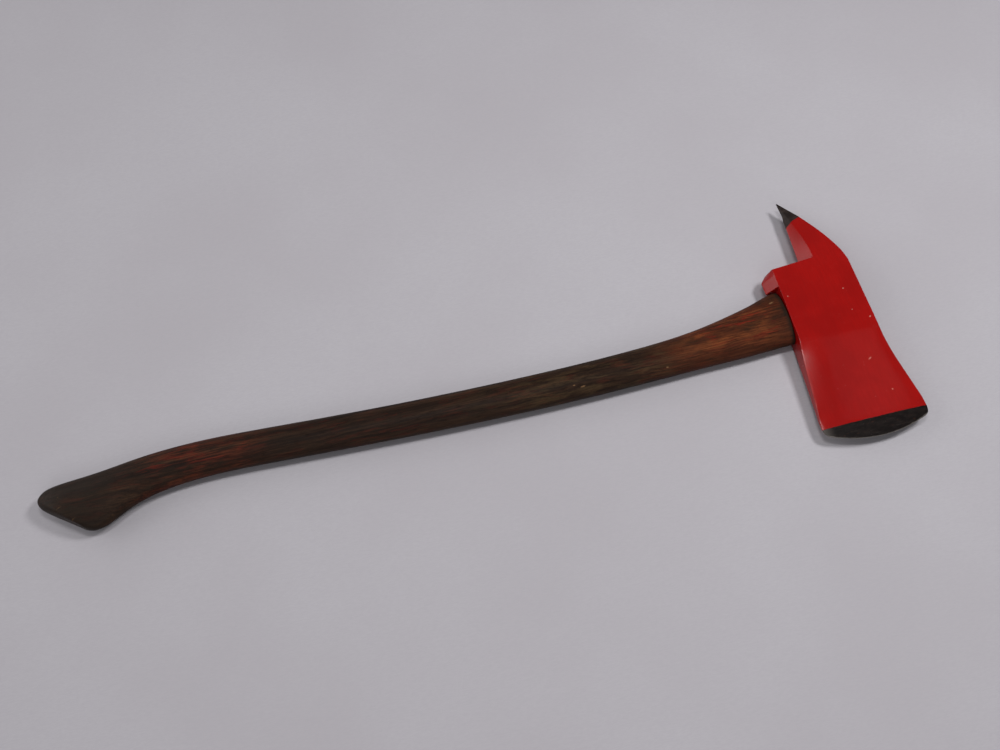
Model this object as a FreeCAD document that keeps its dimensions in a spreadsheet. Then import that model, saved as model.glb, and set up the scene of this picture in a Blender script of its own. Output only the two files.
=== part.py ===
import FreeCAD, Part
import os
import re
import Sketcher

# Pick-head fire axe lying on its side.
# +X runs along the handle towards the crown of the head, +Y from the blade towards the pick, +Z up.
# The origin is under the centre of the eye, on the plane that the head's lower cheek rests on.
# Each piece is drawn about the head's middle plane and then lifted by half the head's thickness.

# Every alias has an underscore in it, which is how an expression's size names are told from functions.
SIZES = [
    # The head as a whole
    ("head_thickness", 29, "across the two flat cheeks at the eye"),
    ("eye_near", 47, "eye centre to the side of the head that faces the handle"),
    ("eye_far", 43.5, "eye centre to the crown, the side away from the handle"),
    ("blade_reach", 158.5, "eye centre to the middle of the cutting edge"),
    ("pick_reach", 147.3, "eye centre to the tip of the pick"),
    ("pick_tip_half", 0.5, "half the thickness left at the tip of the pick"),
    ("crown_ridge", 1.2, "how far the crown side of the pick is ridged in the middle plane"),
    ("cheek_below", 4, "how far the flat cheeks go on below the eye before the blade starts"),
    ("cheek_high", 49, "eye centre to where the flat cheeks end and the taper of the pick starts"),
    # The shoulder is the solid metal between the eye and the notch under the pick
    ("shoulder_near", 57, "height of the shoulder at the handle side"),
    ("shoulder_far", 61.3, "height of the shoulder where the pick leaves it"),
    ("shoulder_in", 2.4, "how far the shoulder's corner lies in from the blade end of that side"),
    ("shoulder_lip", 0.4, "step between the cheeks and the ridge of the shoulder"),
    ("keel_out", 13, "how far the ridge in the middle plane stands out of the shoulder"),
    ("keel_lean", 0.65, "how much less that ridge stands out at its corner"),
    ("keel_top", 5.5, "how far that ridge still stands out at the top of the shoulder"),
    ("keel_gap", 0.6, "room between the swell of the handle and the lower end of that ridge"),
    ("keel_high", 49.5, "eye centre to the corner of that ridge"),
    # The cutting edge
    ("edge_radius", 135, "radius of the curved cutting edge"),
    ("edge_shift", 3, "how far the centre of that radius lies towards the toe"),
    ("edge_half", 0.3, "half the blade's thickness left at the edge"),
    ("grind_length", 20, "how far the ground bevel reaches back from the edge"),
    ("grind_half", 3.4, "half the blade's thickness where the bevel starts"),
    # The eye is an oval hole, larger at the crown
    ("eye_long", 30, "half the eye's length at the handle side"),
    ("eye_wide", 9.2, "half the eye's width at the handle side"),
    ("eye_flare", 1.3, "how much larger the eye is all round at the crown"),
    # The handle
    ("handle_length", 915.5, "nose of the grip to the crown of the head"),
    ("handle_under", 0.5, "how much thinner than the head each side of the handle is"),
    ("swell_over", 3, "how much longer than the eye the swell of the handle is, at each end"),
    ("waist_half", 20.2, "half the handle's width at its waist, between the swell and the grip"),
    ("wood_gap", 0.1, "clearance between the wood and the eye, and round each wedge"),
    ("swell_gap", 0.3, "clearance between the swell of the handle and the head"),
    ("tenon_proud", 1.5, "how far the tenon stands out of the crown"),
    ("nose_radius", 13, "radius of the nose of the grip"),
    ("nose_drop", 13.5, "how far the centre of that radius lies below the eye's centre"),
    ("foot_angle", 33.5, "angle in degrees between the sawn end of the grip and the handle's axis"),
    ("foot_length", 54.8, "length of the sawn end"),
    ("foot_radius", 9, "radius at the lower corner of the grip"),
    ("foot_turn", 5, "angle in degrees at which that radius leaves towards the handle"),
    ("foot_run", 6, "straight length after that radius"),
    # The wedges
    ("kerf_depth", 55, "length of the wooden wedge"),
    ("kerf_thick", 6, "thickness of the wooden wedge at the crown"),
    ("kerf_thin", 1.6, "thickness of the wooden wedge at its inner end"),
    ("kerf_in", 3, "how far inside the eye's length each edge of the wooden wedge stays"),
    ("steel_depth", 28, "length of a steel wedge"),
    ("steel_thick", 3.2, "thickness of a steel wedge at the crown"),
    ("steel_thin", 0.8, "thickness of a steel wedge at its inner end"),
    ("steel_width", 14, "width of a steel wedge, across the eye"),
    ("steel_place", 14, "eye centre to the middle of each steel wedge"),
]

# Sections of the blade, from the eye to past the edge: the share of the way to the edge, how much
# further the blade reaches than the eye's two sides, its thickness at those sides as a share of the
# head's, and how much fuller its middle is, as the same kind of share.
BLADE_COLUMNS = ("at", "near", "far", "side", "belly")
BLADE = [
    (0.000, 0.0, 0.1, 1.000, 0),
    (0.056, 0.9, 0.3, 0.915, 0.055),
    (0.174, 3.0, 1.6, 0.717, 0.124),
    (0.349, 5.0, 4.9, 0.545, 0.131),
    (0.598, 8.0, 11.9, 0.345, 0.110),
    (0.835, 10.8, 17.2, 0.159, 0.090),
    (1.051, 13.0, 21.5, 0.062, 0.048),
]

# Sections of the pick, from the top of the flat cheeks to the tip: the share of the way to the tip,
# how far the crown side has come in, the place of the cheek's other edge, and how far the ridge in
# the middle plane stands out under that edge.
PICK_COLUMNS = ("at", "crown", "under", "ridge")
PICK = [
    (0.00, 0.6, 6.0, 14.0),
    (0.12, 1.7, 7.0, 14.0),
    (0.19, 3.2, 7.6, 14.0),
    (0.36, 8.6, 8.0, 13.4),
    (0.56, 17.8, 5.6, 9.8),
    (0.74, 27.8, 2.4, 6.0),
    (1.00, 45.3, -2.6, 0.6),
]

# Sections of the handle: place, height of the centre and half the width. Those near the head are
# placed by their distance from it, those of the grip by their distance from its nose, and those
# between by their share of the way from the first group to the second. Near the head the width is
# given as a share of the way from the waist to the swell.
HANDLE_COLUMNS = ("at", "high", "wide")
SWELL = [
    (0, 0.0, 1.00),
    (14, -1.0, 0.94),
    (57, -8.5, 0.53),
    (101, -13.4, 0.16),
    (160, -17.3, 0.00),
    (278, -19.9, -0.02),
]
MIDDLE = [
    (0.43, -16.6, 19.3),
    (0.79, -9.8, 19.5),
]
GRIP = [
    (181.5, -5.6, 19.9),
    (123.5, -9.2, 21.4),
    (94.5, -16.2, 24.6),
    (71.5, -25.0, 29.7),
    (49.5, -26.7, 29.4),
    (17, -29.0, 29.8),
    (-33, -32.0, 30.0),
]

TABLES = {
    "blade": (BLADE_COLUMNS, BLADE),
    "pick": (PICK_COLUMNS, PICK),
    "swell": (HANDLE_COLUMNS, SWELL),
    "middle": (HANDLE_COLUMNS, MIDDLE),
    "grip": (HANDLE_COLUMNS, GRIP),
}

BEYOND = "60"   # how far a cutting outline reaches past the piece that it cuts
INSIDE = "8"    # how far an added shape reaches into the metal that it grows from
GRIND_TURN = 90  # degrees that the grinding cut turns through, enough to pass both ends of the edge

document = FreeCAD.newDocument("FireAxe")
sheet = document.addObject("Spreadsheet::Sheet", "Sizes")


def add_size(row, alias, number, meaning=""):
    sheet.set("A%d" % row, alias)
    sheet.set("B%d" % row, str(number))
    sheet.set("C%d" % row, meaning)
    sheet.setAlias("B%d" % row, alias)


def fill_sheet():
    sizes = list(SIZES)
    for name, (columns, table) in TABLES.items():
        for index, numbers in enumerate(table):
            for column, number in zip(columns, numbers):
                sizes.append(("%s_%d_%s" % (name, index, column), number, ""))
    for row, size in enumerate(sizes, start=1):
        add_size(row, *size)
    document.recompute()


def bound(expression):
    """Point each size name in an expression at its cell."""
    return re.sub(r"\b([a-z]+_\w+)", r"Sizes.\1", expression)


def value(expression):
    return float(sheet.evalExpression(bound(expression)))


def new_body(label):
    body = document.addObject("PartDesign::Body", label)
    body.Label = label
    body.setExpression("Placement.Base.z", bound("head_thickness / 2"))
    return body


def new_sketch(body, name, role, offset="0"):
    """A sketch on one of the body's own planes, moved along the plane's normal."""
    sketch = body.newObject("Sketcher::SketchObject", name)
    plane = [item for item in body.Origin.OriginFeatures if item.Role == role][0]
    sketch.AttachmentSupport = [(plane, "")]
    sketch.MapMode = "FlatFace"
    sketch.setExpression("AttachmentOffset.Base.z", bound(offset))
    return sketch


def bind(sketch, index, expression):
    sketch.setExpression("Constraints[%d]" % index, bound(expression))


def fix_point(sketch, edge, end, across, up):
    """Hold one end of an edge, or its centre, at a place given by two expressions."""
    for kind, axis, expression in (("DistanceX", -2, across), ("DistanceY", -1, up)):
        number = value(expression)
        if number == 0:
            sketch.addConstraint(Sketcher.Constraint("PointOnObject", edge, end, axis))
            continue
        index = sketch.addConstraint(Sketcher.Constraint(kind, -1, 1, edge, end, number))
        bind(sketch, index, expression)


def point(across, up):
    return FreeCAD.Vector(value(across), value(up), 0)


def outline(sketch, corners, arcs=None):
    """A closed outline. Each corner is a pair of expressions.

    arcs gives, for the corner that an arc starts from, the arc's middle point and its radius.
    """
    arcs = arcs or {}
    places = [point(across, up) for across, up in corners]
    edges = []
    for number, start in enumerate(places):
        end = places[(number + 1) % len(places)]
        shape = Part.LineSegment(start, end)
        if number in arcs:
            across, up, _ = arcs[number]
            shape = Part.Arc(start, point(across, up), end)
        edges.append(sketch.addGeometry(shape, False))
    for number, edge in enumerate(edges):
        following = edges[(number + 1) % len(edges)]
        sketch.addConstraint(Sketcher.Constraint("Coincident", edge, 2, following, 1))
        fix_point(sketch, edge, 1, *corners[number])
        if number in arcs:
            radius = arcs[number][2]
            index = sketch.addConstraint(Sketcher.Constraint("Radius", edge, value(radius)))
            bind(sketch, index, radius)


def oval(sketch, across, long_half, short_half):
    """An ellipse centred on the middle plane, its long axis level."""
    centre = FreeCAD.Vector(value(across), 0, 0)
    long_end = centre + FreeCAD.Vector(value(long_half), 0, 0)
    short_end = centre + FreeCAD.Vector(0, value(short_half), 0)
    ellipse = sketch.addGeometry(Part.Ellipse(long_end, short_end, centre), False)
    sketch.exposeInternalGeometry(ellipse)
    fix_point(sketch, ellipse, 3, across, "0")
    sketch.addConstraint(Sketcher.Constraint("Horizontal", ellipse + 1))
    for line, half in ((ellipse + 1, long_half), (ellipse + 2, short_half)):
        index = sketch.addConstraint(Sketcher.Constraint("Distance", line, 2 * value(half)))
        bind(sketch, index, "2 * (%s)" % half)


def loft(body, kind, name, sketches, ruled=False):
    feature = body.newObject(kind, name)
    feature.Profile = sketches[0]
    feature.Sections = sketches[1:]
    feature.Ruled = ruled
    document.recompute()
    return feature


def pad_both_ways(body, name, sketch, length):
    feature = body.newObject("PartDesign::Pad", name)
    feature.Profile = sketch
    feature.Midplane = True
    feature.setExpression("Length", bound(length))
    document.recompute()
    return feature


def cut_both_ways(body, name, sketch, length=None):
    """Cut the sketch's outline out of the body, on both sides of the sketch's plane."""
    before = body.Shape.Volume
    feature = body.newObject("PartDesign::Pocket", name)
    feature.Profile = sketch
    feature.Midplane = True
    if length is None:
        feature.Type = "ThroughAll"
    else:
        feature.setExpression("Length", bound(length))
    document.recompute()
    if not body.Shape.Volume < before:
        raise RuntimeError(name + " cuts nothing")
    return feature


# The head


def eye_block(body):
    """The flat-cheeked middle of the head, up to the shoulder."""
    sketch = new_sketch(body, "EyeBlockPlan", "XY_Plane")
    outline(sketch, [
        ("-eye_near", "-eye_long - cheek_below"),
        ("eye_far", "-eye_long - cheek_below"),
        ("eye_far - pick_0_crown", "cheek_high"),
        ("pick_1_under", "shoulder_far"),
        ("shoulder_in - eye_near", "shoulder_near"),
    ])
    pad_both_ways(body, "EyeBlock", sketch, "head_thickness")


def shoulder_taper(body):
    """Above the flat cheeks the head thins evenly towards the tip of the pick."""
    sketch = new_sketch(body, "TaperProfile", "YZ_Plane")
    for side in ("", "-"):
        outline(sketch, [
            ("cheek_high", side + "head_thickness / 2"),
            ("pick_reach", side + "pick_tip_half"),
            ("pick_reach", side + "head_thickness / 2"),
        ])
    cut_both_ways(body, "ShoulderTaper", sketch)


def keel_section(body, name, height, half, out):
    sketch = new_sketch(body, name, "XZ_Plane", "-(%s)" % height)
    outline(sketch, [
        (INSIDE + " - eye_near", "-(%s)" % half),
        (INSIDE + " - eye_near", half),
        ("shoulder_in - eye_near", half),
        ("shoulder_in - eye_near - (%s)" % out, "0"),
        ("shoulder_in - eye_near", "-(%s)" % half),
    ])
    return sketch


def shoulder_keel(body):
    """The ridge that the forging dies leave on the shoulder, beside the handle."""
    flat = "head_thickness / 2 - shoulder_lip"
    thinned = thickness_half("(shoulder_near - cheek_high) / (pick_reach - cheek_high)") + " - shoulder_lip"
    loft(body, "PartDesign::AdditiveLoft", "ShoulderKeel", [
        keel_section(body, "KeelLow", "eye_long + swell_over + keel_gap", flat, "keel_out"),
        keel_section(body, "KeelHigh", "keel_high", flat, "keel_out - keel_lean"),
        keel_section(body, "KeelTop", "shoulder_near", thinned, "keel_top"),
    ], ruled=True)


def blade_section(body, index):
    """Two upright sides joined by two slightly full cheeks."""
    size = lambda column: "blade_%d_%s" % (index, column)
    start = "(eye_long + cheek_below)"
    reach = "%s + %s * (blade_reach - %s)" % (start, size("at"), start)
    sketch = new_sketch(body, "BladeSection%d" % index, "XZ_Plane", reach)
    near = "-eye_near - " + size("near")
    far = "eye_far + " + size("far")
    half = "head_thickness / 2 * " + size("side")
    belly = "(head_thickness / 2 * %s)" % size("belly")
    span = "(eye_near + eye_far + %s + %s)" % (size("near"), size("far"))
    radius = "(%s^2 / 4 + %s^2) / (2 * %s)" % (span, belly, belly)
    middle = "(%s + %s) / 2" % (near, far)
    arcs = {
        0: (middle, "-(%s) - %s" % (half, belly), radius),
        2: (middle, "%s + %s" % (half, belly), radius),
    }
    corners = [(near, "-(%s)" % half), (far, "-(%s)" % half), (far, half), (near, half)]
    outline(sketch, corners, arcs if value(belly) else None)
    return sketch


def thickness_half(share):
    """Half the thickness of the pick at a share of the way to its tip."""
    return "head_thickness / 2 + (%s) * (pick_tip_half - head_thickness / 2)" % share


def pick_section(body, index):
    size = lambda column: "pick_%d_%s" % (index, column)
    reach = "-cheek_high - %s * (pick_reach - cheek_high)" % size("at")
    sketch = new_sketch(body, "PickSection%d" % index, "XZ_Plane", reach)
    half = thickness_half(size("at"))
    crown = "eye_far - " + size("crown")
    outline(sketch, [
        (size("under"), "-(%s)" % half),
        (crown, "-(%s)" % half),
        ("%s + crown_ridge * (1 - %s)" % (crown, size("at")), "0"),
        (crown, half),
        (size("under"), half),
        ("%s - %s" % (size("under"), size("ridge")), "0"),
    ])
    return sketch


def edge_grind(body):
    """The two ground bevels, turned about the centre of the edge's curve."""
    sketch = new_sketch(body, "GrindProfile", "YZ_Plane", "edge_shift")
    sketch.setExpression("AttachmentOffset.Base.x", bound("edge_radius - blade_reach"))
    outline(sketch, [
        ("grind_length - edge_radius", "grind_half"),
        ("-edge_radius", "edge_half"),
        ("-edge_radius", "-edge_half"),
        ("grind_length - edge_radius", "-grind_half"),
        ("grind_length - edge_radius", "-head_thickness"),
        ("-edge_radius - " + BEYOND, "-head_thickness"),
        ("-edge_radius - " + BEYOND, "head_thickness"),
        ("grind_length - edge_radius", "head_thickness"),
    ])
    before = body.Shape.Volume
    groove = body.newObject("PartDesign::Groove", "EdgeGrind")
    groove.Profile = sketch
    groove.ReferenceAxis = (sketch, ["V_Axis"])
    groove.Angle = GRIND_TURN
    groove.Midplane = True
    document.recompute()
    if not body.Shape.Volume < before:
        raise RuntimeError("EdgeGrind cuts nothing")


def eye_oval(body, name, place, gap):
    """The eye's oval at a place along the handle's axis, less a clearance all round."""
    flare = "eye_flare * (%s + eye_near) / (eye_near + eye_far)" % place
    sketch = new_sketch(body, name, "YZ_Plane", place)
    oval(sketch, "0", "eye_long + %s - %s" % (flare, gap), "eye_wide + %s - %s" % (flare, gap))
    return sketch


def axe_head():
    body = new_body("axe_head")
    eye_block(body)
    shoulder_taper(body)
    shoulder_keel(body)
    loft(body, "PartDesign::AdditiveLoft", "Blade", [blade_section(body, i) for i in range(len(BLADE))])
    loft(body, "PartDesign::AdditiveLoft", "Pick", [pick_section(body, i) for i in range(len(PICK))])
    edge_grind(body)
    loft(body, "PartDesign::SubtractiveLoft", "Eye", [
        eye_oval(body, "EyeNear", "(-eye_near - %s)" % INSIDE, "0"),
        eye_oval(body, "EyeFar", "(eye_far + %s)" % INSIDE, "0"),
    ])
    return body


# The handle


def handle_section(body, group, index):
    size = lambda column: "%s_%d_%s" % (group, index, column)
    swell_end = "swell_%d_at" % (len(SWELL) - 1)
    wide = size("wide")
    if group == "swell":
        place = "-eye_near - swell_gap - " + size("at")
        wide = "waist_half + %s * (eye_long + swell_over - waist_half)" % wide
    elif group == "middle":
        start = "(-eye_near - swell_gap - %s)" % swell_end
        end = "(eye_far - handle_length + grip_0_at)"
        place = "%s + %s * (%s - %s)" % (start, size("at"), end, start)
    else:
        place = "eye_far - handle_length + " + size("at")
    sketch = new_sketch(body, "%s%d" % (group.capitalize(), index), "YZ_Plane", place)
    oval(sketch, size("high"), wide, "head_thickness / 2 - handle_under")
    return sketch


def foot_cut(body):
    """Round the nose and saw the grip's end off at a slant, in plan."""
    nose = "(eye_far - handle_length + nose_radius)"
    saw_x = "(%s - nose_radius * sin(foot_angle))" % nose
    saw_y = "(-nose_drop - nose_radius * cos(foot_angle))"
    low_x = "(%s + foot_length * cos(foot_angle))" % saw_x
    low_y = "(%s - foot_length * sin(foot_angle))" % saw_y
    hub_x = "(%s + foot_radius * sin(foot_angle))" % low_x
    hub_y = "(%s + foot_radius * cos(foot_angle))" % low_y
    heel_x = "(%s + foot_radius * sin(foot_turn))" % hub_x
    heel_y = "(%s - foot_radius * cos(foot_turn))" % hub_y
    out_x = "%s + foot_run * cos(foot_turn)" % heel_x
    out_y = "%s + foot_run * sin(foot_turn)" % heel_y
    sketch = new_sketch(body, "FootPlan", "XY_Plane")
    outline(sketch, [
        (nose, "nose_radius - nose_drop"),
        (saw_x, saw_y),
        (low_x, low_y),
        (heel_x, heel_y),
        (out_x, out_y),
        (out_x, "%s - %s" % (low_y, BEYOND)),
        ("%s - %s" % (nose, BEYOND), "%s - %s" % (low_y, BEYOND)),
        ("%s - %s" % (nose, BEYOND), BEYOND),
        (nose, BEYOND),
    ], {
        0: ("%s - nose_radius" % nose, "-nose_drop", "nose_radius"),
        2: (hub_x, "%s - foot_radius" % hub_y, "foot_radius"),
    })
    cut_both_ways(body, "FootCut", sketch)


def tenon(body):
    loft(body, "PartDesign::AdditiveLoft", "Tenon", [
        eye_oval(body, "TenonRoot", "(-eye_near - %s)" % INSIDE, "wood_gap"),
        eye_oval(body, "TenonEnd", "(eye_far + tenon_proud)", "wood_gap"),
    ])


def wedge_outline(body, name, role, centre, size, gap="0"):
    """A wedge seen from its side: flush with the tenon's end and thinner inwards."""
    end = "eye_far + tenon_proud"
    inner = "%s - %s_depth - %s" % (end, size, gap)
    thick = "%s_thick / 2 + %s" % (size, gap)
    thin = "%s_thin / 2 + %s" % (size, gap)
    sketch = new_sketch(body, name, role)
    outline(sketch, [
        (inner, "%s - (%s)" % (centre, thin)),
        (end, "%s - (%s)" % (centre, thick)),
        (end, "%s + %s" % (centre, thick)),
        (inner, "%s + %s" % (centre, thin)),
    ])
    return sketch


STEEL_WEDGES = {"steel_wedge_upper": "steel_place", "steel_wedge_lower": "-steel_place"}


def steel_slots(body):
    """Room for the steel wedges, which split the wood as they are driven in."""
    for label, centre in STEEL_WEDGES.items():
        sketch = wedge_outline(body, label + "_slot", "XY_Plane", centre, "steel", "wood_gap")
        cut_both_ways(body, label + "_cut", sketch, "steel_width + 2 * wood_gap")


def handle():
    body = new_body("handle")
    sections = []
    for group, table in (("swell", SWELL), ("middle", MIDDLE), ("grip", GRIP)):
        sections += [handle_section(body, group, index) for index in range(len(table))]
    loft(body, "PartDesign::AdditiveLoft", "Grip", sections)
    foot_cut(body)
    tenon(body)
    kerf = wedge_outline(body, "KerfSide", "XZ_Plane", "0", "kerf", "wood_gap")
    cut_both_ways(body, "Kerf", kerf)
    steel_slots(body)
    return body


# The wedges


def kerf_wedge():
    body = new_body("kerf_wedge")
    side = wedge_outline(body, "WedgeSide", "XZ_Plane", "0", "kerf")
    pad_both_ways(body, "Wedge", side, "2 * (eye_long - kerf_in)")
    steel_slots(body)
    return body


def steel_wedge(label):
    body = new_body(label)
    side = wedge_outline(body, label + "_side", "XY_Plane", STEEL_WEDGES[label], "steel")
    pad_both_ways(body, label + "_plate", side, "steel_width")
    return body


def write_parts(bodies):
    """Check every object of the document, then write one file for each piece."""
    for item in document.Objects:
        if "Invalid" in item.State or "Error" in item.State:
            raise RuntimeError("%s did not build" % item.Label)
    for body in bodies:
        shape = body.Shape
        if shape.isNull() or not shape.isValid() or len(shape.Solids) != 1:
            raise RuntimeError("%s is not one sound solid" % body.Label)
    os.makedirs("parts", exist_ok=True)
    for body in bodies:
        box = body.Shape.optimalBoundingBox()
        body.Shape.exportStep("parts/%s.step" % body.Label)
        print("%-18s %9.0f mm3  x %.1f..%.1f  y %.1f..%.1f  z %.1f..%.1f" % (
            body.Label, body.Shape.Volume, box.XMin, box.XMax, box.YMin, box.YMax, box.ZMin, box.ZMax))


fill_sheet()
bodies = [axe_head(), handle(), kerf_wedge()] + [steel_wedge(label) for label in STEEL_WEDGES]
document.recompute()
write_parts(bodies)
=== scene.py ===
# %% [markdown]
# # A pick-head fire axe, lying on its side
# A fire axe is a forged steel head, painted red, wedged onto a long curved hickory handle.
# The engineering model already gives every piece its true size and place. This notebook loads
# it, models the head and the handle again with the soft edges and worn shapes of the real tool,
# and gives every surface a finish made from nodes.

import math

import bmesh
import bpy
from mathutils import Matrix, Vector


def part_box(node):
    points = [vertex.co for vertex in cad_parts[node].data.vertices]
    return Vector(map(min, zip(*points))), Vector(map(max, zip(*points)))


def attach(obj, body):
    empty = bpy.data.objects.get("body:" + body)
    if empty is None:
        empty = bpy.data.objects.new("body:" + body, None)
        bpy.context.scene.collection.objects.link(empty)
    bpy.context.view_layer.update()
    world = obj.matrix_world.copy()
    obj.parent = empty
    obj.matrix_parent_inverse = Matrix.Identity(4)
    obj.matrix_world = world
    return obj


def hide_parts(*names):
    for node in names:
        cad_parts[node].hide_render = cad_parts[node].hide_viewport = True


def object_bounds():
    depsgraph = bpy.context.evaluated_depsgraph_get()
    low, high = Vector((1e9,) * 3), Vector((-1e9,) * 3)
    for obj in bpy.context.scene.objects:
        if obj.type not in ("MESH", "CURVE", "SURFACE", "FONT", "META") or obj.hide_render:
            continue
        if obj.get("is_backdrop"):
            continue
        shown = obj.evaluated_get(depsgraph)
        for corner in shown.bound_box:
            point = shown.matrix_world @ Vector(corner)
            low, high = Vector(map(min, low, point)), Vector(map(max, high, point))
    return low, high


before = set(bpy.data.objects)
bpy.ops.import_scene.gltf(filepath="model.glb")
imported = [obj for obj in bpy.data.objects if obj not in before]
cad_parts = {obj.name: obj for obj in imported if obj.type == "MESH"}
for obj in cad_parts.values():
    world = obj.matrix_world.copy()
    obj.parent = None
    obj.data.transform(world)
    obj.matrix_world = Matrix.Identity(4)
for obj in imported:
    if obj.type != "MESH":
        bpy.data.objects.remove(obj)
cad_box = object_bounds()
for node in sorted(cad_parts):
    low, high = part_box(node)
    print(node, [round(v * 1000, 1) for v in low], [round(v * 1000, 1) for v in high])

# %% [markdown]
# Lengths are written in millimetres, as a workshop drawing has them, and multiplied by MM
# where Blender needs metres. X runs along the handle towards the crown of the head, Y from the
# blade towards the pick, and Z up from the surface that the axe lies on. Both big pieces are
# symmetrical about the middle plane of the head, so they are modelled about Z = 0 and lifted
# by half the head's thickness when they are done.

# %% Units and the middle plane
MM = 0.001
head_low, head_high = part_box("axe_head")
MIDDLE = (head_low.z + head_high.z) / 2
HALF = (head_high.z - head_low.z) / 2 / MM
print("middle plane at", round(MIDDLE, 4), "half thickness", round(HALF, 2), "mm")

# %% [markdown]
# ## Small helpers for modelling by hand
# Every shape below starts as a primitive and grows by the operators of edit mode. An operator
# acts on whatever is selected, and a person picks corners by looking at them. A script picks
# them by place: a rule looks at a corner's position in millimetres and says yes or no.

# %% Select by place
def start_editing(thing):
    bpy.ops.object.select_all(action="DESELECT")
    bpy.context.view_layer.objects.active = thing
    thing.select_set(True)
    bpy.ops.object.mode_set(mode="EDIT")
    bpy.ops.mesh.select_mode(type="VERT")


def stop_editing():
    bpy.ops.object.mode_set(mode="OBJECT")


def select(rule):
    """Select the corners whose place, in millimetres, the rule accepts."""
    thing = bpy.context.edit_object
    mesh = bmesh.from_edit_mesh(thing.data)
    bpy.ops.mesh.select_all(action="DESELECT")
    for corner in mesh.verts:
        corner.select_set(bool(rule(*(corner.co / MM))))
    mesh.select_flush(True)
    bmesh.update_edit_mesh(thing.data)


def select_faces(rule):
    """Select the faces whose centre, in millimetres, and normal the rule accepts."""
    thing = bpy.context.edit_object
    mesh = bmesh.from_edit_mesh(thing.data)
    bpy.ops.mesh.select_mode(type="FACE")
    bpy.ops.mesh.select_all(action="DESELECT")
    for face in mesh.faces:
        face.select_set(bool(rule(face.calc_center_median() / MM, face.normal)))
    bmesh.update_edit_mesh(thing.data)
    bpy.ops.mesh.select_mode(type="VERT")


def span(axis):
    """Lowest and highest place of the selection along an axis, in millimetres."""
    mesh = bmesh.from_edit_mesh(bpy.context.edit_object.data)
    places = [corner.co[axis] / MM for corner in mesh.verts if corner.select]
    return min(places), max(places)


def near(value, target, reach=0.05):
    return abs(value - target) < reach


print("helpers for selecting are ready")

# %% [markdown]
# Once corners are selected, nearly all shaping is one move: stretch the selection along an
# axis until it runs from here to there. With resize and translate behind one name, the tables
# of sections below can be read like a drawing.

# %% Stretch, cut and extrude
X, Y, Z = 0, 1, 2


def fit(axis, low, high):
    """Stretch and slide the selection along one axis until it runs from low to high."""
    now_low, now_high = span(axis)
    if now_high - now_low > 1e-6:
        factors = [1, 1, 1]
        factors[axis] = (high - low) / (now_high - now_low)
        bpy.ops.transform.resize(value=factors, center_override=(0, 0, 0))
        now_low, now_high = span(axis)
    move = [0, 0, 0]
    move[axis] = ((low + high) - (now_low + now_high)) / 2 * MM
    bpy.ops.transform.translate(value=move)


def cut(axis, places):
    """Cut the whole mesh across an axis, leaving a line of edges at each place."""
    normal = [0, 0, 0]
    normal[axis] = 1
    for place in places:
        bpy.ops.mesh.select_all(action="SELECT")
        point = [part * place * MM for part in normal]
        bpy.ops.mesh.bisect(plane_co=point, plane_no=normal)


def extrude(x=0, y=0, z=0):
    bpy.ops.mesh.extrude_region_move(TRANSFORM_OT_translate={"value": (x * MM, y * MM, z * MM)})


def slab(name, low, high):
    """A block between two corners, left in edit mode."""
    bpy.ops.object.select_all(action="DESELECT")
    size = [(b - a) * MM for a, b in zip(low, high)]
    place = [(a + b) / 2 * MM for a, b in zip(low, high)]
    bpy.ops.mesh.primitive_cube_add(size=1, location=place, scale=size)
    thing = bpy.context.object
    thing.name = thing.data.name = name
    bpy.ops.object.transform_apply(location=True, rotation=True, scale=True)
    start_editing(thing)
    return thing


def apply(thing, kind, **settings):
    """Add a modifier and apply it at once."""
    made = thing.modifiers.new(kind.title(), kind)
    for name, setting in settings.items():
        setattr(made, name, setting)
    bpy.context.view_layer.objects.active = thing
    bpy.ops.object.modifier_apply(modifier=made.name)


def report(thing):
    places = [corner.co / MM for corner in thing.data.vertices]
    box = [(round(min(p[a] for p in places), 1), round(max(p[a] for p in places), 1)) for a in range(3)]
    print(thing.name, "has", len(thing.data.polygons), "faces, box", box)


print("helpers for shaping are ready")

# %% [markdown]
# ## The head
# The head was forged as one bar of steel. Its middle is a flat-cheeked block with the eye
# through it, the blade thins and widens away from the block on one side, and the pick tapers
# away on the other. Box modelling suits that well: begin with the block, then pull the blade
# and the pick out of its two ends, section by section. The columns of edges run unbroken from
# the cutting edge to the shoulder, so the surface stays even when it is subdivided.

# %% The block around the eye
NEAR, FAR = -47.0, 43.5      # the side that faces the handle, and the crown
BLOCK_LOW, BLOCK_HIGH = -34.0, 49.0
COLUMNS = (0, 0.04, 0.15, 0.3, 0.45, 0.6, 0.7, 0.8, 0.9, 0.96, 1)


def column(share, low=NEAR, high=FAR):
    return low + share * (high - low)


head = slab("fire_axe_head", (NEAR, BLOCK_LOW, -HALF), (FAR, BLOCK_HIGH, HALF))
cut(X, [column(share) for share in COLUMNS[1:-1]])
cut(Z, [0])
cut(Y, [-15, 10, 33.1, 33.7, 40, 47.5])
print("cage of the block:", len(head.data.vertices), "corners before its ends are pulled out")

# %% [markdown]
# The blade: each row of the table is a section. The two sides of the head spread apart towards
# the edge while the cheeks close in, and the cheeks stay a little fuller in the middle than
# at the sides, which is what keeps a real blade from sticking in wood. Beside the handle the
# cheeks also roll off a little, most where the blade leaves the block.

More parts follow.
